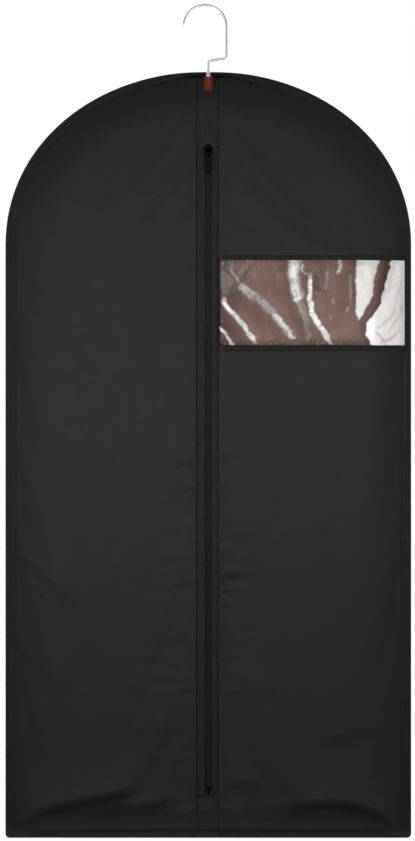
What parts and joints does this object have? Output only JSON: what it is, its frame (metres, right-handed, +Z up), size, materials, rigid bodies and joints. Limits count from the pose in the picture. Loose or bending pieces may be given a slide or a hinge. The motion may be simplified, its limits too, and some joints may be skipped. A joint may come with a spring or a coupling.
{
  "type": "garment bag",
  "caption": "Long arched garment bag of dark fabric with a full-length front zip, a clear window and a bound edge, on its wooden hanger with a swivelling steel hook.",
  "frame": {"origin": "where the crest of a wardrobe rail meets the inside of the hook, straight above the hook's stem", "axes": "+Z up, +X to the right of someone facing the front, and the front with its zip and window faces -Y"},
  "size_m": [0.6, 0.0605, 1.2328],
  "materials": {
    "steel": "satin nickel plate",
    "hanger_wood": "stained and lacquered hardwood",
    "cover_fabric": "matte plain-woven polyester",
    "lining_fabric": "plain lining cloth",
    "clear_film": "clear soft film, creased",
    "binding_tape": "ribbed woven tape, stitched",
    "zip_tape": "herringbone woven tape",
    "zip_coil": "nylon coil",
    "zip_metal": "black enamelled die casting"
  },
  "bodies": {
    "hook": {"hook": "steel", "hook_nut": "steel"},
    "bag": {"ferrule": "steel", "bar_screw_left": "steel", "bar_screw_right": "steel", "hanger_body": "hanger_wood", "trouser_bar": "hanger_wood", "back_panel": "cover_fabric", "front_left_panel": "cover_fabric", "front_right_upper_panel": "cover_fabric", "front_right_lower_panel": "cover_fabric", "neck_panel": "cover_fabric", "foot_panel": "cover_fabric", "back_lining": "lining_fabric", "window_film": "clear_film", "window_strip_top": "binding_tape", "window_strip_bottom": "binding_tape", "window_strip_left": "binding_tape", "notch_binding": "binding_tape", "edge_binding_left": "binding_tape", "edge_binding_right": "binding_tape", "edge_binding_bottom": "binding_tape", "edge_binding_top": "binding_tape", "zip_tape_left": "zip_tape", "zip_tape_right": "zip_tape", "zip_coil_left": "zip_coil", "zip_coil_right": "zip_coil", "top_stop_left": "zip_metal", "top_stop_right": "zip_metal", "bottom_stop": "zip_metal"},
    "slider": {"slider_body": "zip_metal", "slider_bail": "zip_metal"},
    "pull_tab": {"pull_tab": "zip_metal"}
  },
  "joints": [
    {"name": "hook_swivel", "type": "hinge", "parent": "hook", "child": "bag", "pos_m": [0, 0, -0.12], "axis": [0, 0, 1], "continuous": true},
    {"name": "zip_slide", "type": "slide", "parent": "bag", "child": "slider", "axis": [0, 0, -1], "range_m": [0, 0.927]},
    {"name": "pull_swing", "type": "hinge", "parent": "slider", "child": "pull_tab", "pos_m": [0, -0.03122, -0.219], "axis": [-1, 0, 0], "range_deg": [0, 170]}
  ]
}
